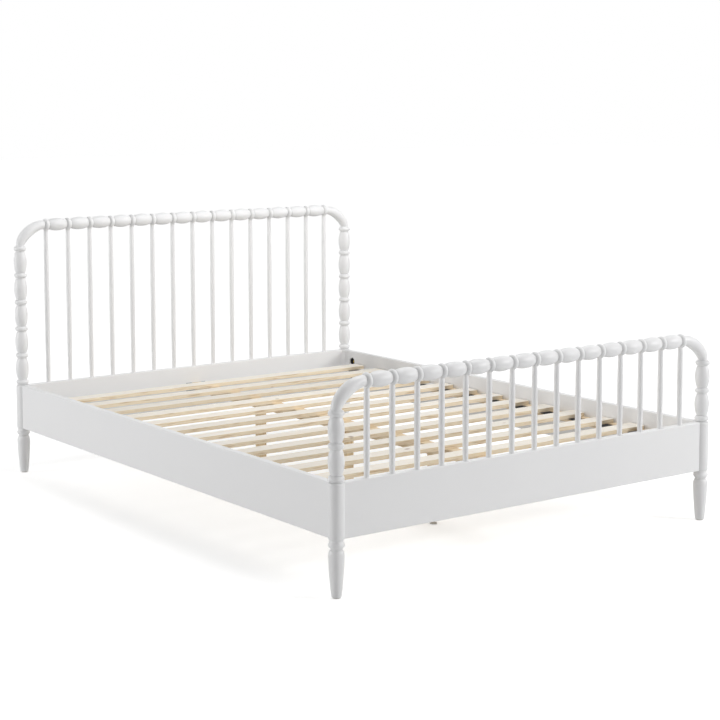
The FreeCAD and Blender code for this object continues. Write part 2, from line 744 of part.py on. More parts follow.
def levellers():
    return group([leveller(y) for y in LEG_Y.values()])


# ---------------------------------------------------------------------------
# The whole bed
# ---------------------------------------------------------------------------

for end in ENDS:
    for side_name, side in SIDES.items():
        write(end["name"] + "_post_" + side_name, post(end, side))
    write(end["name"] + "_elbows", elbows(end))
    write(end["name"] + "_top_rail", top_rail(end))
    write(end["name"] + "_panel", panel(end))
    write("beam_bracket_" + end["name"], beam_bracket(end))
    write(end["name"] + "_spindles", group([spindle(end, x) for x in SPINDLE_X]))

for side_name, side in SIDES.items():
    write("side_rail_" + side_name, side_rail(side))
    write("slat_cleat_" + side_name, slat_cleat(LONG_CLEAT, side))
    write("head_cleat_" + side_name, slat_cleat(HEAD_CLEAT, side))
    write("slat_strap_" + side_name, slat_strap(side))

for number, y in enumerate(SLAT_Y, start=1):
    write("slat_" + str(number).zfill(2), slat(y))

write("centre_beam", centre_beam())
for place, y in LEG_Y.items():
    write("centre_leg_" + place, centre_leg(y))

write("elbow_dowels", elbow_dowels())
write("rail_bolts", rail_bolts())
write("half_moon_washers", half_moon_washers())
write("rail_nuts", rail_nuts())
write("cleat_screws", cleat_screws())
write("bracket_screws", bracket_screws())
write("leg_bolts", leg_bolts())
write("post_glides", post_glides())
write("levellers", levellers())
write("leveller_nuts", leveller_nuts())
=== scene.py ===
# %% [markdown]
# This lesson dresses a spindle bed: a painted wooden bed frame whose posts and top rails are turned
# on a lathe into rings and barrels. The solid model of the bed is loaded first and gives every
# place and size. What follows adds what the solids leave plain: rounded rings, paint, pine and steel.

# %% Load the solid model
import math
import bmesh
import bpy
from mathutils import Matrix, Vector


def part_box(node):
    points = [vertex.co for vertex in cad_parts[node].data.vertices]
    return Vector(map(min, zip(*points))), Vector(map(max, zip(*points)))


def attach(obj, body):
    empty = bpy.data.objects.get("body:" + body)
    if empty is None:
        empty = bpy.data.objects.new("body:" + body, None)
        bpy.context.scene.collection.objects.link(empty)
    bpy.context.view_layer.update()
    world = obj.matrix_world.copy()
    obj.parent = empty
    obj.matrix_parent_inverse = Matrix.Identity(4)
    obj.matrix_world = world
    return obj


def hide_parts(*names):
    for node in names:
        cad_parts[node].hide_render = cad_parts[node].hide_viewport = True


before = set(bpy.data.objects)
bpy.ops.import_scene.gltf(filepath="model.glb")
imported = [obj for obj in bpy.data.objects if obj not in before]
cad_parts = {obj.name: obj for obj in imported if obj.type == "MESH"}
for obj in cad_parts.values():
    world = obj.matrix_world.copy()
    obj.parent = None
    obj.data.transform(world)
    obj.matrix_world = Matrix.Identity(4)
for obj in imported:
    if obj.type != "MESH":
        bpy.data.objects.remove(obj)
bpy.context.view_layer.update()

print("nodes loaded:", len(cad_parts))

# %% [markdown]
# The solids sit in metres, but a wood turner works in millimetres. So every size below is written in
# millimetres and multiplied by MM where it is used. Places are read from the loaded nodes' boxes.

# %% Units and the places of the bed's ends
MM = 0.001
SPINDLES = 15
ENDS = ("head", "foot")
SIDES = {"left": -1, "right": 1}


def middle(node):
    """The middle of a node's box."""
    low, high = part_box(node)
    return (Vector(low) + Vector(high)) / 2


def top_of(node):
    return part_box(node)[1][2]


print("head post axis:", tuple(round(v, 4) for v in middle("head_post_left")[:2]))

# %% [markdown]
# A turned piece is a half outline spun about its axis. The outline is walked from one end to the
# other as pairs of radius and height, just as a turner checks a blank with callipers. Rings and
# barrels are both swellings between two narrow necks. One formula gives them: a softness of 0.5 is
# an ellipse, which rises steeply out of its neck, and 1 is a parabola, which rises gently.

# %% The shapes that the lathe cuts
RING_RADIUS = 24.5 * MM
RING_HALF_HEIGHT = 8.8 * MM
RING_SOFTNESS = 0.48
NECK_RADIUS = 17.0 * MM
NECK_HALF_HEIGHT = 11.0 * MM
BARREL_RADIUS = 25.0 * MM
BARREL_SOFTNESS = 0.72
CURVE_STEPS = 14
BARREL_STEPS = 24
SAME_POINT = 0.01 * MM


def swelling(widest, low, high, softness, steps):
    """A round swelling from neck to neck, with more points where it curves most."""
    points = []
    for step in range(steps + 1):
        share = math.sin(math.pi * (step / steps - 0.5))
        rise = max(0.0, 1 - share ** 2) ** softness
        radius = NECK_RADIUS + (widest - NECK_RADIUS) * rise
        points.append((radius, (low + high) / 2 + (high - low) / 2 * share))
    return points


def ring_outline(centre):
    """A ring with a short neck before and after it."""
    low, high = centre - RING_HALF_HEIGHT, centre + RING_HALF_HEIGHT
    ring = swelling(RING_RADIUS, low, high, RING_SOFTNESS, CURVE_STEPS)
    neck_low, neck_high = centre - NECK_HALF_HEIGHT, centre + NECK_HALF_HEIGHT
    return [(NECK_RADIUS, neck_low), *ring, (NECK_RADIUS, neck_high)]


def barrel_outline(ring, next_ring):
    """The barrel between the necks of two rings."""
    low, high = ring + NECK_HALF_HEIGHT, next_ring - NECK_HALF_HEIGHT
    return swelling(BARREL_RADIUS, low, high, BARREL_SOFTNESS, BARREL_STEPS)


def bulge_outline(start_radius, widest, end_radius, low, high, steps=CURVE_STEPS):
    """A shallow bulge between two heights, along a parabola that passes through its widest radius."""
    points = []
    for step in range(steps + 1):
        share = step / steps
        plain = start_radius + (end_radius - start_radius) * share
        swell = widest - (start_radius + end_radius) / 2
        points.append((plain + swell * 4 * share * (1 - share), low + (high - low) * share))
    return points


def corner_free(points):
    """The outline without doubled points."""
    kept = [points[0]]
    for point in points[1:]:
        if math.dist(point, kept[-1]) > SAME_POINT:
            kept.append(point)
    return kept


print("ring outline points:", len(ring_outline(0)))

# %% [markdown]
# Spinning the outline gives rows of points that are joined into faces. Sixty-four steps round are
# enough for a smooth edge against the white ground. Shading is smooth apart from the grooves, where
# two curves meet in a crease that the turning tool leaves.

# %% Spin an outline into a piece
STEPS_ROUND = 64
CREASE_ANGLE = math.radians(38)


def finish_mesh(name, shape, crease=CREASE_ANGLE):
    """Turns a bmesh into an object of the bed that is smooth apart from its creases."""
    bmesh.ops.recalc_face_normals(shape, faces=shape.faces)
    mesh = bpy.data.meshes.new(name)
    shape.to_mesh(mesh)
    shape.free()
    mesh.shade_smooth()
    mesh.set_sharp_from_angle(angle=crease)
    piece = bpy.data.objects.new(name, mesh)
    bpy.context.scene.collection.objects.link(piece)
    return piece


def skin(shape, rows):
    """Joins rows of points into faces and closes both ends."""
    count = len(rows[0])
    for row, following in zip(rows, rows[1:]):
        for i in range(count):
            j = (i + 1) % count
            shape.faces.new((row[i], row[j], following[j], following[i]))
    shape.faces.new(rows[0])
    shape.faces.new(rows[-1])


def turned(name, outline, placing):
    """Spins an outline of radius and height about the Z axis, then places the piece."""
    shape = bmesh.new()
    rows = []
    for radius, height in corner_free(outline):
        row = []
        for step in range(STEPS_ROUND):
            angle = 2 * math.pi * step / STEPS_ROUND
            point = Vector((radius * math.cos(angle), radius * math.sin(angle), height))
            row.append(shape.verts.new(placing @ point))
        rows.append(row)
    skin(shape, rows)
    return finish_mesh(name, shape)


def dress(piece, finish, slot, *nodes):
    """Gives a new piece its finish, and lets it stand for the solids that it replaces."""
    piece.data.materials.append(finish)
    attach(piece, "root")
    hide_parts(*nodes)


# %% [markdown]
# Each finish below is a small tree of shader nodes. Colours are written as the sRGB hex values that
# a paint card or a colour picker gives, and turned to linear light by one function. One more function
# adds a node with its settings and links, which keeps each finish short enough to read.

# %% Helpers for the finishes
def linear(hex_colour):
    """An sRGB hex colour such as 'F3F3F3' as linear red, green, blue and alpha."""
    channels = [int(hex_colour[i:i + 2], 16) / 255 for i in (0, 2, 4)]
    low = [c / 12.92 if c <= 0.04045 else ((c + 0.055) / 1.055) ** 2.4 for c in channels]
    return (*low, 1.0)


def add(tree, kind, inputs=None, **settings):
    """Adds a shader node. Inputs maps a socket's name or number to a value or another socket."""
    made = tree.nodes.new(kind)
    for name, value in settings.items():
        setattr(made, name, value)
    for socket, value in (inputs or {}).items():
        if isinstance(value, bpy.types.NodeSocket):
            tree.links.new(value, made.inputs[socket])
        else:
            made.inputs[socket].default_value = value
    return made


def new_finish(name):
    """An empty material, its node tree, its shader and the place on the bed in metres."""
    material = bpy.data.materials.new(name)
    material.use_nodes = True
    tree = material.node_tree
    tree.nodes.clear()
    shader = add(tree, "ShaderNodeBsdfPrincipled")
    add(tree, "ShaderNodeOutputMaterial", {"Surface": shader.outputs[0]})
    place = add(tree, "ShaderNodeTexCoord").outputs["Object"]
    return material, tree, shader, place


MIX_A, MIX_B, MIX_RESULT = 6, 7, 2
GRAIN_ALONG = {"X": (1, 0, 0), "Y": (0, 1, 0), "Z": (0, 0, 1)}


def grain_scale(direction, along, across):
    """A scale for a Mapping node that draws a pattern long with the grain and fine across it."""
    return [along if axis else across for axis in GRAIN_ALONG[direction]]


print("white paint, linear:", tuple(round(v, 3) for v in linear("F3F3F3")))

# %% [markdown]
# The bed is hardwood under sprayed satin white paint. The coat is opaque, so the eye gets two faint
# things from it: long low ridges where the grain swells under the paint, and the fine orange peel of
# the spray. The grooves are drawn in a slightly warmer, duller tone, which is painted shade.

# %% Satin white paint over wood
GRAIN_RIDGE_WIDTH = 1.6 * MM
GRAIN_RIDGE_LENGTH = 60 * MM
SPRAY_PEEL_WIDTH = 2.2 * MM
GROOVE_REACH = 9 * MM
PAINT_IOR = 1.5


def satin_white(direction):
    finish, tree, shader, place = new_finish("satin_white_paint_" + direction.lower())
    scale = grain_scale(direction, 1 / GRAIN_RIDGE_LENGTH, 1 / GRAIN_RIDGE_WIDTH)
    with_grain = add(tree, "ShaderNodeMapping", {"Vector": place, "Scale": scale})
    ridges = add(
        tree, "ShaderNodeTexNoise", {"Vector": with_grain.outputs[0], "Scale": 1.0, "Detail": 3.0}
    )
    peel = add(tree, "ShaderNodeTexNoise", {"Vector": place, "Scale": 1 / SPRAY_PEEL_WIDTH, "Detail": 1.0})
    cloud = add(tree, "ShaderNodeTexNoise", {"Vector": place, "Scale": 2.6, "Detail": 3.0})
    tone = add(
        tree, "ShaderNodeMix",
        {"Factor": cloud.outputs[0], MIX_A: linear("F3F3F3"), MIX_B: linear("EEEEEF")},
        data_type="RGBA",
    )
    # Painted shade: the paint is drawn darker in grooves and creases, where other wood is near.
    groove = add(
        tree, "ShaderNodeAmbientOcclusion", {"Distance": GROOVE_REACH}, samples=6, only_local=True
    )
    groove_shade_amount = add(
        tree, "ShaderNodeMapRange",
        {"Value": groove.outputs["AO"], "From Min": 0.35, "From Max": 0.95, "To Min": 0.4, "To Max": 0.0},
    )
    shaded_in_grooves = add(
        tree, "ShaderNodeMix",
        {"Factor": groove_shade_amount.outputs[0], MIX_A: tone.outputs[MIX_RESULT], MIX_B: linear("D6D6D5")},
        data_type="RGBA",
    )
    gloss = add(
        tree, "ShaderNodeMapRange",
        {"Value": cloud.outputs[0], "From Min": 0.3, "From Max": 0.7, "To Min": 0.36, "To Max": 0.46},
    )
    low_ridges = add(
        tree, "ShaderNodeBump",
        {"Height": ridges.outputs[0], "Strength": 0.15, "Distance": 0.12 * MM},
    )
    fine_peel = add(
        tree, "ShaderNodeBump",
        {"Height": peel.outputs[0], "Strength": 0.16, "Distance": 0.05 * MM,
         "Normal": low_ridges.outputs[0]},
    )
    tree.links.new(shaded_in_grooves.outputs[MIX_RESULT], shader.inputs["Base Color"])
    tree.links.new(gloss.outputs[0], shader.inputs["Roughness"])
    tree.links.new(fine_peel.outputs[0], shader.inputs["Normal"])
    shader.inputs["IOR"].default_value = PAINT_IOR
    return finish


paint_up = satin_white("Z")
paint_across = satin_white("X")
paint_along = satin_white("Y")
print("paint finishes:", paint_up.name, paint_across.name, paint_along.name)

# %% [markdown]
# The slats are planed pine, cut from many boards. One finish covers them all, so it has to know
# where each board starts. Here the place across the boards is divided by their spacing, and the whole
# number that comes out picks a random tone and a random part of the tree for that board.

# %% Give each board its own part of the tree
OWN_PLACE_REACH = (3.0, 0.35, 0.25)


def own_board(tree, place, direction, board_spacing):
    """A board's own random values, and the place moved to its own part of the tree."""
    apart = add(tree, "ShaderNodeSeparateXYZ", {0: place})
    crosswise = apart.outputs["Y" if direction == "X" else "X"]
    shifted = add(tree, "ShaderNodeMath", {0: crosswise, 1: board_spacing / 2}, operation="ADD")
    number = add(
        tree, "ShaderNodeMath", {0: shifted.outputs[0], 1: board_spacing}, operation="DIVIDE"
    )
    board = add(tree, "ShaderNodeMath", {0: number.outputs[0]}, operation="FLOOR")
    chance = add(tree, "ShaderNodeTexWhiteNoise", {"W": board.outputs[0]}, noise_dimensions="1D")
    own_place = add(
        tree, "ShaderNodeVectorMath", {0: chance.outputs["Color"], 1: OWN_PLACE_REACH},
        operation="MULTIPLY",
    )
    moved = add(tree, "ShaderNodeVectorMath", {0: place, 1: own_place.outputs[0]}, operation="ADD")
    return chance, moved.outputs[0]


print("boards are drawn from up to", OWN_PLACE_REACH[0], "m apart in the tree")

# %% [markdown]
# A pine board's pattern is a slice through growth rings: rings of pale early wood and darker late
# wood about a centre line. A ring wave stretched along the grain gives them, and a little noise makes
# them wander. Real rings are 2 to 3 mm apart, too fine to show at this distance, so they are drawn
# 7 mm apart. Fine noise adds the fibres.

# %% Growth rings and fibres
DRAWN_RING_SPACING = 7 * MM
RING_WANDER = 11 * MM
FIBRE_WIDTH = 1.2 * MM
FIBRE_LENGTH = 45 * MM
WAVES_PER_METRE = 3.14  # about how many waves a wave texture with a scale of 1 makes in a metre


def growth_rings(tree, moved, direction):
    """Growth rings about the grain, a little bent along their length."""
    lengthened = add(
        tree, "ShaderNodeMapping", {"Vector": moved, "Scale": grain_scale(direction, 0.06, 1.0)}
    )
    slow = add(tree, "ShaderNodeMapping", {"Vector": moved, "Scale": grain_scale(direction, 2.2, 9.0)})
    wander = add(
        tree, "ShaderNodeTexNoise", {"Vector": slow.outputs[0], "Scale": 1.0, "Detail": 2.0}
    )
    wandered = add(
        tree, "ShaderNodeVectorMath",
        {0: wander.outputs["Color"], 1: (RING_WANDER,) * 3}, operation="MULTIPLY",
    )
    bent = add(
        tree, "ShaderNodeVectorMath", {0: lengthened.outputs[0], 1: wandered.outputs[0]},
        operation="ADD",
    )
    return add(
        tree, "ShaderNodeTexWave",
        {"Vector": bent.outputs[0], "Scale": 1 / DRAWN_RING_SPACING / WAVES_PER_METRE,
         "Distortion": 0.6, "Detail": 2.0, "Detail Scale": 1.5},
        wave_type="RINGS", rings_direction=direction, wave_profile="SAW",
    )


def wood_fibres(tree, moved, direction):
    """Fine noise, drawn out with the grain."""
    scale = grain_scale(direction, 1 / FIBRE_LENGTH, 1 / FIBRE_WIDTH)
    with_grain = add(tree, "ShaderNodeMapping", {"Vector": moved, "Scale": scale})
    return add(
        tree, "ShaderNodeTexNoise", {"Vector": with_grain.outputs[0], "Scale": 1.0, "Detail": 3.0}
    )


print("growth rings are drawn", round(DRAWN_RING_SPACING / MM), "mm apart")

# %% [markdown]
# A knot is the dark round spot where a branch grew. Each cell of a Voronoi pattern has one point, and
# the ground near it is coloured as a knot, so knots are spread unevenly but never crowded.

# %% Knots
KNOT_SPACING = 120 * MM
KNOT_SIZE = 9 * MM


def knots(tree, moved, direction):
    """How much of each place is knot."""
    scale = grain_scale(direction, 0.6, 1.0)
    lengthened = add(tree, "ShaderNodeMapping", {"Vector": moved, "Scale": scale})
    branch = add(
        tree, "ShaderNodeTexVoronoi", {"Vector": lengthened.outputs[0], "Scale": 1 / KNOT_SPACING}
    )
    return add(
        tree, "ShaderNodeMapRange",
        {"Value": branch.outputs["Distance"], "From Min": 0.35 * KNOT_SIZE / KNOT_SPACING,
         "From Max": KNOT_SIZE / KNOT_SPACING, "To Min": 0.9, "To Max": 0.0},
    )


print("knots are about", round(KNOT_SPACING / MM), "mm apart")

# %% [markdown]
# Broad faces are planed pale, and upright sides are tinted browner: partly the saw's cut, partly
# painted shade. So the finish asks which way a face looks. Brown lines of resin run with the grain,
# faint on the planed faces and stronger on the upright sides.

# %% Sawn sides with painted shade, and resin lines
RESIN_LINE_WIDTH = 5 * MM
RESIN_LINE_LENGTH = 90 * MM
RESIN_COLOUR = "B48C5C"


def sawn_and_shaded_sides(tree):
    """One on faces that stand upright, and nought on faces that look up or down."""
    faced = add(tree, "ShaderNodeSeparateXYZ", {0: add(tree, "ShaderNodeTexCoord").outputs["Normal"]})
    upright = add(tree, "ShaderNodeMath", {0: faced.outputs["Z"]}, operation="ABSOLUTE")
    return add(
        tree, "ShaderNodeMapRange",
        {"Value": upright.outputs[0], "From Min": 0.3, "From Max": 0.9, "To Min": 1.0, "To Max": 0.0},
    )


def resin_lines(tree, moved, direction, upright_sides):
    """How strong the resin's colour is at each place."""
    scale = grain_scale(direction, 1 / RESIN_LINE_LENGTH, 1 / RESIN_LINE_WIDTH)
    with_grain = add(tree, "ShaderNodeMapping", {"Vector": moved, "Scale": scale})
    resin = add(
        tree, "ShaderNodeTexNoise", {"Vector": with_grain.outputs[0], "Scale": 1.0, "Detail": 2.0}
    )
    lines = add(
        tree, "ShaderNodeMapRange",
        {"Value": resin.outputs[0], "From Min": 0.55, "From Max": 0.72, "To Min": 0.0, "To Max": 1.0},
    )
    # Resin is drawn stronger on the upright sides, where it adds to their darker tint.
    strength = add(
        tree, "ShaderNodeMapRange", {"Value": upright_sides.outputs[0], "To Min": 0.14, "To Max": 0.6}
    )
    return add(
        tree, "ShaderNodeMath", {0: lines.outputs[0], 1: strength.outputs[0]}, operation="MULTIPLY"
    )


print("resin, linear:", tuple(round(v, 3) for v in linear(RESIN_COLOUR)))

# %% [markdown]
# The pine finish puts these together: rings and fibres mix early and late wood, each board has its
# own tone, and knots, the browner upright sides and resin lines are laid over. Planed pine without oil
# is dull, so its roughness is high. The slats, the beam and the legs differ only in their colours.

# %% Planed pine
PINE_ROUGHNESS = 0.62
WHOLE_PIECE = 400 * MM


def planed_pine(name, direction, board_spacing, early, late, knot_colour, sawn_and_shade_tint):
    finish, tree, shader, place = new_finish(name)
    chance, moved = own_board(tree, place, direction, board_spacing)
    rings = growth_rings(tree, moved, direction)
    fibres = wood_fibres(tree, moved, direction)
    bands = add(
        tree, "ShaderNodeMapRange",
        {"Value": rings.outputs["Fac"], "From Min": 0.35, "From Max": 1.0, "To Min": 0.0, "To Max": 0.55},
    )
    grain = add(
        tree, "ShaderNodeMath", {0: fibres.outputs[0], 1: 0.45, 2: bands.outputs[0]},
        operation="MULTIPLY_ADD",
    )
    wood = add(
        tree, "ShaderNodeMix",
        {"Factor": grain.outputs[0], MIX_A: linear(early), MIX_B: linear(late)}, data_type="RGBA",
    )
    tone = add(
        tree, "ShaderNodeMapRange", {"Value": chance.outputs["Value"], "To Min": 0.93, "To Max": 1.05}
    )
    toned = add(
        tree, "ShaderNodeVectorMath",
        {0: wood.outputs[MIX_RESULT], "Scale": tone.outputs[0]}, operation="SCALE",
    )
    knotted = add(
        tree, "ShaderNodeMix",
        {"Factor": knots(tree, moved, direction).outputs[0], MIX_A: toned.outputs[0],
         MIX_B: linear(knot_colour)},
        data_type="RGBA",
    )
    upright_sides = sawn_and_shaded_sides(tree)
    # Partly painted shade: upright sides are multiplied by the sawn tint, so they come out darker than
    # tops.
    side_tinted = add(
        tree, "ShaderNodeMix",
        {"Factor": upright_sides.outputs[0], MIX_A: knotted.outputs[MIX_RESULT], MIX_B: linear(sawn_and_shade_tint)},
        data_type="RGBA", blend_type="MULTIPLY",
    )
    lined = add(
        tree, "ShaderNodeMix",
        {"Factor": resin_lines(tree, moved, direction, upright_sides).outputs[0],
         MIX_A: side_tinted.outputs[MIX_RESULT], MIX_B: linear(RESIN_COLOUR)},
        data_type="RGBA",
    )
    planing = add(
        tree, "ShaderNodeBump", {"Height": fibres.outputs[0], "Strength": 0.35, "Distance": 0.15 * MM}
    )
    tree.links.new(lined.outputs[MIX_RESULT], shader.inputs["Base Color"])
    tree.links.new(planing.outputs[0], shader.inputs["Normal"])
    shader.inputs["Roughness"].default_value = PINE_ROUGHNESS
    return finish


slat_spacing = (middle("slat_13").y - middle("slat_01").y) / 12
slat_pine = planed_pine("planed_pine_slat", "X", slat_spacing, "FDFAF3", "F3E8D5", "7E5636", "F8EDDA")
beam_pine = planed_pine("planed_pine_beam", "Y", WHOLE_PIECE, "EFDFC4", "D6BA90", "7A4A2A", "FFFFFF")
# The legs' pine is drawn lighter, as painted light, making up for the light that the bed keeps off them.
leg_pine_painted_lighter = planed_pine("planed_pine_leg_painted_lighter", "Z", WHOLE_PIECE, "F4DFBA", "DDBE90", "7A4A2A", "FFFFFF")
print("slats are", round(slat_spacing / MM, 1), "mm apart")

# %% [markdown]
# The small things have plain finishes, but none is one flat colour. Polypropylene webbing is woven,
# so it has threads both ways. Steel parts are zinc plated: bright zinc is bluish grey, and yellow
# zinc has a thin chromate film that makes it brassy and patchy.

# %% Webbing, zinc plate, beech and moulded plastic
THREAD_SPACING = 2.0 * MM
PLATE_PATCH = 5 * MM


def woven_webbing():
    finish, tree, shader, place = new_finish("black_polypropylene_webbing")
    turns = 1 / THREAD_SPACING / WAVES_PER_METRE
    warp = add(tree, "ShaderNodeTexWave", {"Vector": place, "Scale": turns}, bands_direction="X")
    weft = add(tree, "ShaderNodeTexWave", {"Vector": place, "Scale": turns}, bands_direction="Y")
    weave = add(
        tree, "ShaderNodeMath", {0: warp.outputs["Fac"], 1: weft.outputs["Fac"]}, operation="MULTIPLY"
    )
    tone = add(
        tree, "ShaderNodeMix",
        {"Factor": weave.outputs[0], MIX_A: linear("0C0C0E"), MIX_B: linear("1E1E22")}, data_type="RGBA",
    )
    threads = add(
        tree, "ShaderNodeBump", {"Height": weave.outputs[0], "Strength": 0.7, "Distance": 0.3 * MM}
    )
    tree.links.new(tone.outputs[MIX_RESULT], shader.inputs["Base Color"])
    tree.links.new(threads.outputs[0], shader.inputs["Normal"])
    shader.inputs["Roughness"].default_value = 0.85
    return finish


def mottled(name, light, dark, patch, metallic, smooth, rough, relief):
    """A finish whose colour and sheen drift from patch to patch."""
    finish, tree, shader, place = new_finish(name)
    patches = add(tree, "ShaderNodeTexNoise", {"Vector": place, "Scale": 1 / patch, "Detail": 4.0})
    tone = add(
        tree, "ShaderNodeMix",
        {"Factor": patches.outputs[0], MIX_A: linear(light), MIX_B: linear(dark)}, data_type="RGBA",
    )
    gloss = add(
        tree, "ShaderNodeMapRange", {"Value": patches.outputs[0], "To Min": smooth, "To Max": rough}
    )
    surface = add(
        tree, "ShaderNodeBump", {"Height": patches.outputs[0], "Strength": 0.3, "Distance": relief}
    )
    tree.links.new(tone.outputs[MIX_RESULT], shader.inputs["Base Color"])
    tree.links.new(gloss.outputs[0], shader.inputs["Roughness"])
    tree.links.new(surface.outputs[0], shader.inputs["Normal"])
    shader.inputs["Metallic"].default_value = metallic
    return finish


webbing = woven_webbing()
bright_zinc = mottled("bright_zinc_plate", "C9CDD2", "9DA2A8", PLATE_PATCH, 1.0, 0.25, 0.45, 0.04 * MM)
# The half-moon washers are drawn near black: partly a black oxide finish, partly painted shade in the bolt
# pockets.
black_oxide_and_pocket_shade = mottled("black_oxide_steel_and_pocket_shade", "2E2E30", "1C1C1E", PLATE_PATCH, 1.0, 0.4, 0.6, 0.04 * MM)
yellow_zinc = mottled("yellow_zinc_plate", "D9BC6A", "A98B48", PLATE_PATCH, 1.0, 0.25, 0.42, 0.04 * MM)
beech = mottled("turned_beech", "D8B98C", "BF9765", 3 * MM, 0.0, 0.5, 0.65, 0.08 * MM)
glide_plastic = mottled("moulded_glide_plastic", "E6E4DE", "D5D3CC", 4 * MM, 0.0, 0.45, 0.6, 0.05 * MM)
print("small finishes:", webbing.name, bright_zinc.name, yellow_zinc.name)

# %% [markdown]
# A post is one turned piece from the floor glide to the elbow: a tapered leg, a bead, the plain
# shank that the boards meet, and then barrels and rings up to the top. The shapes of the lower part
# are single, so they are written once. The upper part is a loop over the barrels.

# %% The outline of a post
GLIDE_THICKNESS = 3.0 * MM
FOOT_EDGE = 1.5 * MM
LEG_FOOT_RADIUS = 15.5 * MM
LEG_RADIUS = 24.6 * MM
LEG_WIDEST_SWELL = 1.35 * MM
LEG_STRAIGHT_END = 125 * MM
GROOVE_RADIUS = 17.8 * MM
GROOVE_FLAT = 2 * MM
BEAD_BOTTOM = 148 * MM
BEAD_TOP = 168.5 * MM
BEAD_RADIUS = 24.8 * MM
COLLAR_RADIUS = 21.5 * MM
SHANK_RADIUS = 24.75 * MM
SHANK_ROUND = 6 * MM
RING_LIFT = 1.4 * MM
POST_BARRELS = {"head": 5, "foot": 2}
RING_PITCH = {"head": 104.3 * MM, "foot": 96.3 * MM}

board_low, board_high = (corner[2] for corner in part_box("head_panel"))


def shoulder_outline(start_radius, end_radius, low, high):
    """A quarter round between two radii, as a turner eases a shoulder."""
    points = []
    for step in range(CURVE_STEPS // 2 + 1):
        turn = math.pi / 2 * step / (CURVE_STEPS // 2)
        share = math.sin(turn) if end_radius > start_radius else 1 - math.cos(turn)
        climb = 1 - math.cos(turn) if end_radius > start_radius else math.sin(turn)
        points.append((start_radius + (end_radius - start_radius) * share, low + (high - low) * climb))
    return points


def post_outline(end):
    """A whole post, from its foot to the neck that the elbow sits on."""
    foot_middle = (LEG_FOOT_RADIUS + LEG_RADIUS) / 2 + LEG_WIDEST_SWELL
    leg_bottom = GLIDE_THICKNESS + FOOT_EDGE
    outline = [(LEG_FOOT_RADIUS - FOOT_EDGE, GLIDE_THICKNESS), (LEG_FOOT_RADIUS, leg_bottom)]
    outline += bulge_outline(LEG_FOOT_RADIUS, foot_middle, LEG_RADIUS, leg_bottom, LEG_STRAIGHT_END)
    outline += shoulder_outline(
        LEG_RADIUS, GROOVE_RADIUS, LEG_STRAIGHT_END, BEAD_BOTTOM - GROOVE_FLAT
    )
    outline += bulge_outline(GROOVE_RADIUS, BEAD_RADIUS, COLLAR_RADIUS, BEAD_BOTTOM, BEAD_TOP)
    outline += shoulder_outline(COLLAR_RADIUS, SHANK_RADIUS, board_low, board_low + SHANK_ROUND)
    outline += shoulder_outline(SHANK_RADIUS, COLLAR_RADIUS, board_high - SHANK_ROUND, board_high)
    ring = board_high + RING_LIFT + NECK_HALF_HEIGHT
    outline += ring_outline(ring)
    for _ in range(POST_BARRELS[end]):
        next_ring = ring + RING_PITCH[end]
        outline += barrel_outline(ring, next_ring)
        outline += ring_outline(next_ring)
        ring = next_ring
    return outline


# %% Turn the four posts
for end in ENDS:
    for side in SIDES:
        node = end + "_post_" + side
        axis = middle(node)
        piece = turned("turned_" + node, post_outline(end), Matrix.Translation((axis.x, axis.y, 0)))
        dress(piece, paint_up, "painted_wood", node)
        print(piece.name, "top at", round(post_outline(end)[-1][1], 4), "solid", round(top_of(node), 4))

# %% [markdown]
# A top rail is turned the same way and then laid across the bed. It has one ring over each spindle,
# so the spindle's end goes into the thickest wood.

# %% Turn the two top rails
def rail_outline(half_length):
    """A rail about its middle: a ring over each spindle and a barrel between each two rings."""
    pitch = 2 * (half_length - NECK_HALF_HEIGHT) / (SPINDLES - 1)
    first = NECK_HALF_HEIGHT - half_length
    outline = ring_outline(first)
    for count in range(1, SPINDLES):
        ring = first + count * pitch
        outline += barrel_outline(ring - pitch, ring)
        outline += ring_outline(ring)
    return outline


LAID_ACROSS = Matrix.Rotation(math.pi / 2, 4, "Y")
for end in ENDS:
    node = end + "_top_rail"
    centre = middle(node)
    rail_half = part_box(node)[1][0]
    piece = turned("turned_" + node, rail_outline(rail_half), Matrix.Translation(centre) @ LAID_ACROSS)
    dress(piece, paint_across, "painted_wood", node)
    print(piece.name, "half length", round(rail_half, 4))

# %% [markdown]
# An elbow joins each post to its top rail. It isn't a piece of pipe: it swells in the middle like
# the barrels do. Round sections are set square to a curved centre line, each with its own radius.

# %% Carve the four elbows
ELBOW_POST_RADIUS = 15.5 * MM
ELBOW_RAIL_RADIUS = 17.0 * MM
ELBOW_MIDDLE_RADIUS = 21.0 * MM
ELBOW_RISE_HANDLE = 0.35
ELBOW_RUN_HANDLE = 0.50
ELBOW_STATIONS = 40


def elbow_line(start, finish, share):
    """A point of the centre line and the line's direction there."""
    rise = Vector((0, 0, (finish.z - start.z) * ELBOW_RISE_HANDLE))
    run = Vector(((finish.x - start.x) * ELBOW_RUN_HANDLE, 0, 0))
    poles = [start, start + rise, finish - run, finish]
    rest = 1 - share
    point = (
        poles[0] * rest ** 3 + poles[1] * 3 * rest ** 2 * share
        + poles[2] * 3 * rest * share ** 2 + poles[3] * share ** 3
    )
    heading = (
        (poles[1] - poles[0]) * rest ** 2 + (poles[2] - poles[1]) * 2 * rest * share
        + (poles[3] - poles[2]) * share ** 2
    )
    return point, heading.normalized()


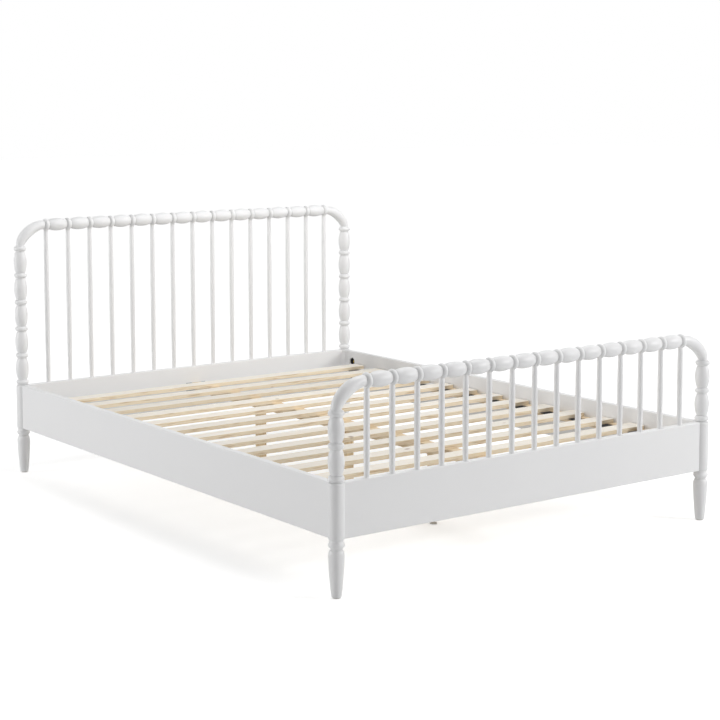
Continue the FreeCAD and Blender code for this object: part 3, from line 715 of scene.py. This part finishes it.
def carved_elbow(name, start, finish):
    shape = bmesh.new()
    sideways = Vector((0, 1, 0))
    rows = []
    for station in range(ELBOW_STATIONS + 1):
        share = station / ELBOW_STATIONS
        point, heading = elbow_line(start, finish, share)
        plain = ELBOW_POST_RADIUS + (ELBOW_RAIL_RADIUS - ELBOW_POST_RADIUS) * share
        swell = ELBOW_MIDDLE_RADIUS - (ELBOW_POST_RADIUS + ELBOW_RAIL_RADIUS) / 2
        radius = plain + swell * math.sin(math.pi * share)
        outward = heading.cross(sideways)
        row = []
        for step in range(STEPS_ROUND):
            angle = 2 * math.pi * step / STEPS_ROUND
            spoke = outward * math.cos(angle) + sideways * math.sin(angle)
            row.append(shape.verts.new(point + spoke * radius))
        rows.append(row)
    skin(shape, rows)
    return finish_mesh(name, shape)


for end in ENDS:
    rail_axis = middle(end + "_top_rail")
    for side, sign in SIDES.items():
        post = end + "_post_" + side
        start = Vector((middle(post).x, middle(post).y, top_of(post)))
        finish = Vector((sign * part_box(end + "_top_rail")[1][0], rail_axis.y, rail_axis.z))
        piece = carved_elbow("carved_" + end + "_elbow_" + side, start, finish)
        dress(piece, paint_up, "painted_wood", end + "_elbows")
        print(piece.name, "rises", round((finish.z - start.z) / MM, 1), "mm")

# %% [markdown]
# The spindles are slim rods, a little thicker halfway up. Each is turned by itself, and its ends
# fill their sockets, as they do on the real bed once the paint has closed the joint.

# %% Turn the thirty spindles
SPINDLE_END_RADIUS = 8.45 * MM
SPINDLE_MIDDLE_RADIUS = 9.75 * MM
SOCKET_DEPTH = 10 * MM

for end in ENDS:
    rail_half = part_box(end + "_top_rail")[1][0]
    rail_axis = middle(end + "_top_rail")
    pitch = 2 * (rail_half - NECK_HALF_HEIGHT) / (SPINDLES - 1)
    low = board_high - SOCKET_DEPTH
    high = rail_axis.z - NECK_RADIUS
    for count in range(SPINDLES):
        x = (count - (SPINDLES - 1) / 2) * pitch
        outline = bulge_outline(
            SPINDLE_END_RADIUS, SPINDLE_MIDDLE_RADIUS, SPINDLE_END_RADIUS, low, high, steps=24
        )
        name = "turned_" + end + "_spindle_" + str(count + 1).zfill(2)
        piece = turned(name, outline, Matrix.Translation((x, rail_axis.y, 0)))
        dress(piece, paint_up, "painted_wood", end + "_spindles")
    print(SPINDLES, end, "spindles, from", round(low, 4), "to", round(high, 4))

# %% [markdown]
# Two woven straps keep the slats at their spacing. Each is stapled to every slat's underside and
# hangs a little slack in between, which a straight solid doesn't show. The strap is a thin closed
# ribbon: its middle line is worked out along the bed and given a thickness. It is drawn wider
# towards the slats' ends than the solid strap is, as wide as it looks between the slats.

# %% Lay and staple the two straps
SLATS = 13
STRAP_SLACK = 2.5 * MM
STRAP_EXTRA_WIDTH = 20 * MM
STAPLE_LENGTH = 10 * MM
STAPLE_WIRE_RADIUS = 0.6 * MM
STAPLE_STEPS_ROUND = 8
STAPLES_APART = 12 * MM
SAG_STEPS = 8

slat_half_width = (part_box("slat_01")[1][1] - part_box("slat_01")[0][1]) / 2


def strap_line():
    """Places along a strap: flat under each slat, slack between two."""
    places = []
    for count in range(SLATS):
        slat_y = middle("slat_01").y + count * slat_spacing
        places += [(slat_y - slat_half_width, 0.0), (slat_y + slat_half_width, 0.0)]
        if count < SLATS - 1:
            gap = slat_spacing - 2 * slat_half_width
            for step in range(1, SAG_STEPS):
                share = step / SAG_STEPS
                drop = STRAP_SLACK * math.sin(math.pi * share) ** 2
                places.append((slat_y + slat_half_width + gap * share, drop))
    return places


def strap_box(side):
    """The lowest and highest corners of a strap, widened towards the slats' ends."""
    low, high = (Vector(corner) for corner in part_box("slat_strap_" + side))
    if SIDES[side] > 0:
        high.x += STRAP_EXTRA_WIDTH
    else:
        low.x -= STRAP_EXTRA_WIDTH
    return low, high


def laid_strap(side):
    low, high = strap_box(side)
    shape = bmesh.new()
    rows = []
    for y, drop in strap_line():
        top, bottom = high[2] - drop, low[2] - drop
        corners = [(low[0], bottom), (high[0], bottom), (high[0], top), (low[0], top)]
        rows.append([shape.verts.new((x, y, z)) for x, z in corners])
    skin(shape, rows)
    return finish_mesh("woven_strap_" + side, shape)


def driven_staples(side):
    """Wire staples flat against a strap, two under each slat."""
    shape = bmesh.new()
    low, high = strap_box(side)
    x_middle = (low[0] + high[0]) / 2
    for count in range(SLATS):
        slat_y = middle("slat_01").y + count * slat_spacing
        for offset in (-STAPLES_APART / 2, STAPLES_APART / 2):
            rows = []
            for end_x in (x_middle - STAPLE_LENGTH / 2, x_middle + STAPLE_LENGTH / 2):
                row = []
                for step in range(STAPLE_STEPS_ROUND):
                    angle = 2 * math.pi * step / STAPLE_STEPS_ROUND
                    y = slat_y + offset + STAPLE_WIRE_RADIUS * math.cos(angle)
                    z = low[2] + STAPLE_WIRE_RADIUS * math.sin(angle)
                    row.append(shape.verts.new((end_x, y, z)))
                rows.append(row)
            skin(shape, rows)
    return finish_mesh("strap_staples_" + side, shape)


for side in SIDES:
    strap = laid_strap(side)
    dress(strap, webbing, "strap_webbing", "slat_strap_" + side)
    staples = driven_staples(side)
    staples.data.materials.append(bright_zinc)
    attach(staples, "root")
    print(strap.name, "with", 2 * SLATS, "staples")

# %% [markdown]
# Flat-sided pieces are already right as solids, so they keep their shapes and only get a finish.
# Each finish runs with the length of its board.

# %% Finish the pieces that keep their solid shapes
FINISHES = {
    "head_panel": paint_across,
    "foot_panel": paint_across,
    "side_rail": paint_along,
    "slat_cleat": beam_pine,
    "head_cleat": paint_along,
    "slat_0": slat_pine,
    "slat_1": slat_pine,
    "centre_beam": beam_pine,
    "centre_leg": leg_pine_painted_lighter,
    "levellers": glide_plastic,
    "leveller_nuts": yellow_zinc,
    "post_glides": glide_plastic,
    "beam_bracket": bright_zinc,
    "half_moon_washers": black_oxide_and_pocket_shade,
    "bracket_screws": bright_zinc,
    "cleat_screws": bright_zinc,
    "rail_bolts": yellow_zinc,
    "rail_nuts": yellow_zinc,
    "leg_bolts": yellow_zinc,
    "elbow_dowels": beech,
}

finished = 0
for node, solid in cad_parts.items():
    for start, finish in FINISHES.items():
        if node.startswith(start):
            solid.data.materials.clear()
            solid.data.materials.append(finish)
            finished += 1
            break
print("solids finished:", finished)

# %% [markdown]
# The bed stands on a plain pale floor under a white studio. The floor's glow is seen by the camera
# only, so it adds no light to the bed. It glows less under the bed, which paints a soft shadow there
# over the faint real shadow, which a strong glow would wash out.

# %% Floor and studio
FLOOR_HALF = 30.0
FLOOR_DROP = 0.5 * MM
STUDIO_LEVEL = 0.345
GLOW_UNDER_BED = 0.40
GLOW_AROUND = 0.68
GLOW_LOW_REACH = 600 * MM
GLOW_FULL_REACH = 2300 * MM


def pale_floor():
    """A floor that looks white to the camera, with less glow under the bed, which paints a soft shadow
    there.
    """
    finish, tree, shader, place = new_finish("pale_studio_floor")
    seen = add(tree, "ShaderNodeLightPath").outputs["Is Camera Ray"]
    shader.inputs["Base Color"].default_value = linear("F1F1F1")
    shader.inputs["Roughness"].default_value = 0.9
    # Painted shadow: the glow grows with the distance from the bed's middle, so the floor is drawn darker
    # under it.
    reach = add(tree, "ShaderNodeVectorMath", {0: place}, operation="LENGTH")
    painted_shadow_glow = add(
        tree, "ShaderNodeMapRange",
        {"Value": reach.outputs["Value"], "From Min": GLOW_LOW_REACH, "From Max": GLOW_FULL_REACH,
         "To Min": GLOW_UNDER_BED, "To Max": GLOW_AROUND},
    )
    glow = add(tree, "ShaderNodeMath", {0: seen, 1: painted_shadow_glow.outputs[0]}, operation="MULTIPLY")
    shader.inputs["Emission Color"].default_value = (1, 1, 1, 1)
    tree.links.new(glow.outputs[0], shader.inputs["Emission Strength"])
    return finish


floor_shape = bmesh.new()
corners = [(-1, -1), (1, -1), (1, 1), (-1, 1)]
floor_shape.faces.new(
    [floor_shape.verts.new((x * FLOOR_HALF, y * FLOOR_HALF, -FLOOR_DROP)) for x, y in corners]
)
studio_floor = finish_mesh("studio_floor", floor_shape)
studio_floor.data.materials.append(pale_floor())

world = bpy.data.worlds.new("white_studio")
bpy.context.scene.world = world
world.use_nodes = True
sky = world.node_tree
sky.nodes.clear()
rays = add(sky, "ShaderNodeLightPath")
mirrored = add(
    sky, "ShaderNodeMath",
    {0: rays.outputs["Is Camera Ray"], 1: rays.outputs["Is Glossy Ray"]}, operation="MAXIMUM",
)
level = add(
    sky, "ShaderNodeMapRange", {"Value": mirrored.outputs[0], "To Min": STUDIO_LEVEL, "To Max": 1.0}
)
studio = add(sky, "ShaderNodeBackground", {"Color": (1, 1, 1, 1), "Strength": level.outputs[0]})
add(sky, "ShaderNodeOutputWorld", {"Surface": studio.outputs[0]})
print("studio level:", STUDIO_LEVEL)

# %% [markdown]
# One large soft lamp hangs high over the bed and makes top edges the brightest. A smaller one hangs
# lower, inside the posts, and lights the slats and the head's panel. Two more stand at the front right
# and at the back left. So each long face grows lighter away from the nearest corner, and the post
# there, which faces neither, is darker.

# %% Lamps
def soft_lamp(name, place, aim, width, power):
    data = bpy.data.lights.new(name, "AREA")
    data.shape = "DISK"
    data.size = width
    data.energy = power
    lamp = bpy.data.objects.new(name, data)
    lamp.location = place
    lamp.rotation_euler = (Vector(aim) - Vector(place)).to_track_quat("-Z", "Y").to_euler()
    bpy.context.scene.collection.objects.link(lamp)
    return lamp


soft_lamp("overhead_softbox", (0.3, -0.6, 4.2), (0, 0, 0.3), 3.0, 15)
soft_lamp("inner_softbox", (0.2, -0.3, 2.7), (0, 0.6, 0.25), 1.6, 21)
soft_lamp("front_right_softbox", (4.3, -5.4, 2.7), (0, -0.3, 0.4), 2.4, 188)
soft_lamp("back_left_softbox", (-5.8, 3.0, 1.15), (-0.8, 0, 0.3), 2.4, 125)
print("lamps:", len(bpy.data.lights))

# %% [markdown]
# The camera stands at the front left, just above the height of the head, and looks slightly down.
# Its place, its turn and its lens were worked out from the corners of the bed. A small shift moves
# the picture instead of tilting the camera further, so the posts stay nearly upright.

# %% Camera
CAMERA_PLACE = Vector((-3.6558, -4.9912, 1.4797))
CAMERA_TURN = math.radians(35.764)
CAMERA_TILT = math.radians(-5.69)
CAMERA_ROLL = math.radians(-0.143)
CAMERA_LENS = 85.18
SENSOR_WIDTH = 36.0
SHIFT_X = 0.0453
SHIFT_Y = -0.1361

camera_data = bpy.data.cameras.new("studio_camera")
camera_data.lens = CAMERA_LENS
camera_data.sensor_width = SENSOR_WIDTH
camera_data.shift_x = SHIFT_X
camera_data.shift_y = SHIFT_Y
camera = bpy.data.objects.new("studio_camera", camera_data)
turn = Matrix.Rotation(-CAMERA_TURN, 4, "Z")
tilt = Matrix.Rotation(math.pi / 2 + CAMERA_TILT, 4, "X")
roll = Matrix.Rotation(CAMERA_ROLL, 4, "Z")
camera.matrix_world = Matrix.Translation(CAMERA_PLACE) @ turn @ tilt @ roll
bpy.context.scene.collection.objects.link(camera)
bpy.context.scene.camera = camera
bpy.context.scene.view_settings.view_transform = "Standard"
print("camera at", tuple(round(v, 2) for v in CAMERA_PLACE))
